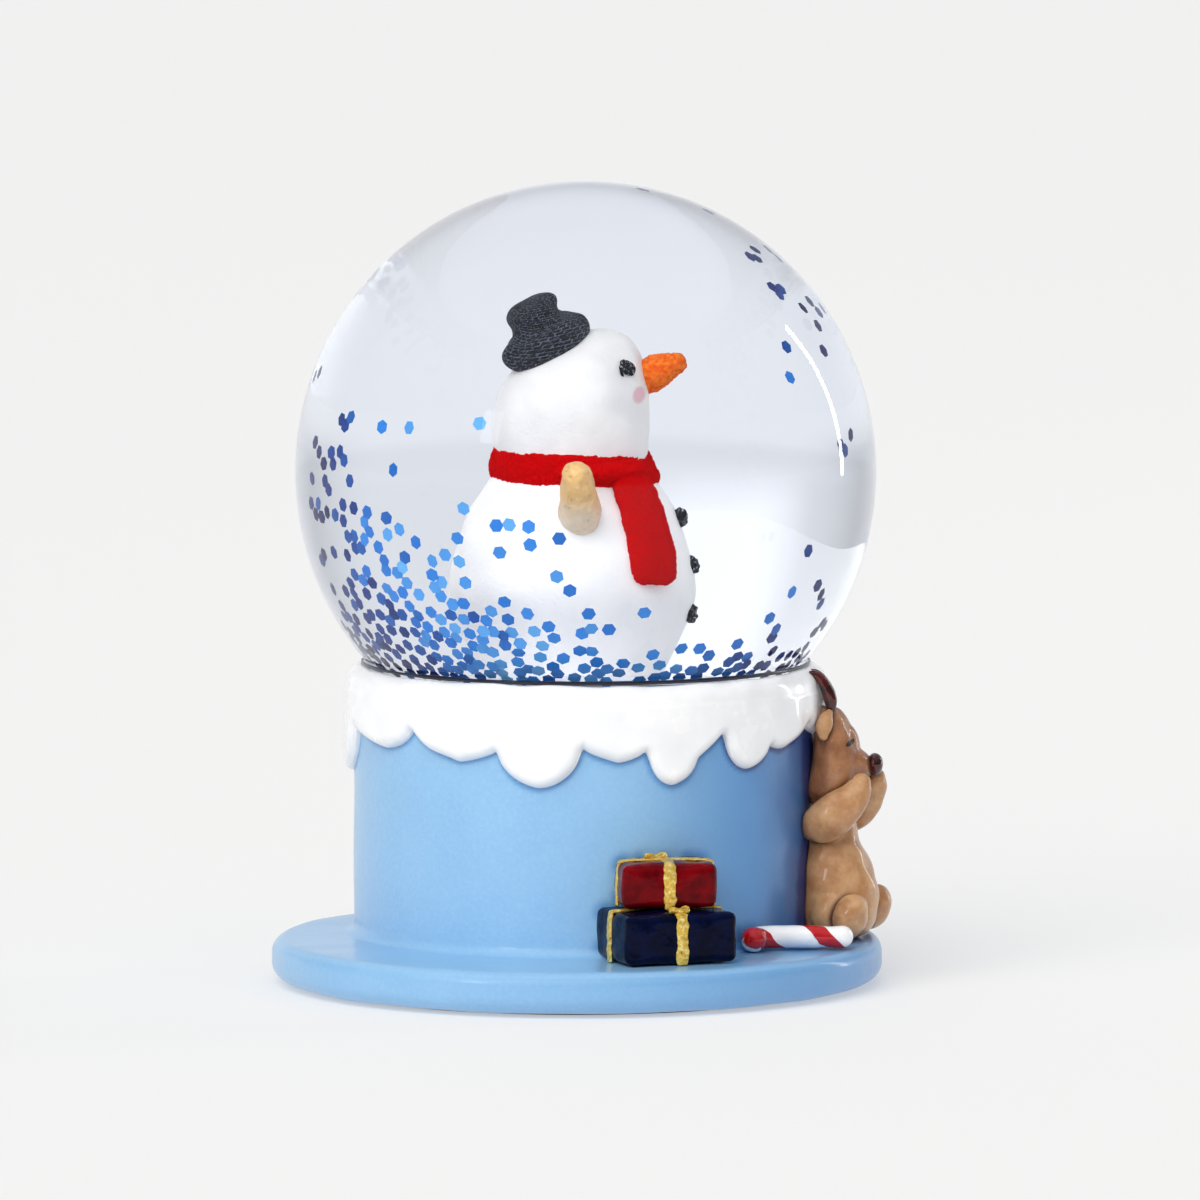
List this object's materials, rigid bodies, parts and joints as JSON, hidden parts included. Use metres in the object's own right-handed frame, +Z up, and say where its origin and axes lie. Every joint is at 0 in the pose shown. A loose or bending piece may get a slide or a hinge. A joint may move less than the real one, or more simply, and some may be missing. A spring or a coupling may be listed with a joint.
{
  "type": "water globe ornament",
  "caption": "Water-filled glass ball with a snowman and hexagon glitter, bonded into a round drum with a snow collar and a wider plinth that carries a reindeer, gifts and a candy cane.",
  "frame": {"origin": "on the axis of the drum and globe, in the plane of the base pad's underside, which is the table", "axes": "+Z up along the globe's axis; +X the way the snowman and the reindeer look; -Y the side the gifts are on"},
  "size_m": [0.048, 0.0503, 0.0617],
  "materials": {
    "base_paint": "sky-blue enamel on cast resin, satin varnish",
    "pad_foam": "dark closed-cell foam pad, matte",
    "snow_paint": "thick white gloss enamel",
    "clear_glass": "clear blown glass, polished",
    "stopper_rubber": "moulded black rubber, matte",
    "bond_epoxy": "cured clear-to-cream epoxy",
    "clear_liquid": "clear water and glycol fill",
    "snowman_paint": "white satin paint on resin",
    "hat_paint": "charcoal paint on a moulded woven texture",
    "scarf_flock": "red flocked coat on moulded resin",
    "carrot_paint": "orange satin paint",
    "coal_paint": "black satin paint",
    "twig_paint": "tan satin paint",
    "fur_paint": "tan paint with a darker wash in the creases, gloss varnish",
    "antler_paint": "very dark red-brown gloss enamel",
    "gift_red_paint": "deep red gloss enamel",
    "gift_blue_paint": "navy gloss enamel",
    "ribbon_gold": "metallic gold paint, hand applied",
    "cane_paint": "white gloss enamel with red stripes"
  },
  "bodies": {
    "root": {"base_casting": "base_paint", "base_pad": "pad_foam", "snow_collar": "snow_paint", "globe_bond": "bond_epoxy", "rubber_stopper": "stopper_rubber", "figure_plate": "snow_paint", "liquid_fill": "clear_liquid", "glass_globe": "clear_glass", "snowman_body": "snowman_paint", "snowman_head": "snowman_paint", "snowman_scarf": "scarf_flock", "scarf_tail": "scarf_flock", "snowman_hat": "hat_paint", "carrot_nose": "carrot_paint", "snowman_eye_right": "coal_paint", "snowman_eye_left": "coal_paint", "snowman_arm_right": "twig_paint", "snowman_arm_left": "twig_paint", "snowman_button_1": "coal_paint", "snowman_button_2": "coal_paint", "snowman_button_3": "coal_paint", "reindeer_body": "fur_paint", "reindeer_head": "fur_paint", "reindeer_nose": "antler_paint", "reindeer_arm_right": "fur_paint", "reindeer_arm_left": "fur_paint", "reindeer_foot_right": "fur_paint", "reindeer_foot_left": "fur_paint", "reindeer_ear_right": "fur_paint", "reindeer_ear_left": "fur_paint", "reindeer_antler_right": "antler_paint", "reindeer_antler_left": "antler_paint", "gift_blue": "gift_blue_paint", "gift_blue_ribbon": "ribbon_gold", "gift_blue_bow": "ribbon_gold", "gift_red": "gift_red_paint", "gift_red_ribbon": "ribbon_gold", "gift_red_bow": "ribbon_gold", "candy_cane": "cane_paint"}
  },
  "joints": []
}
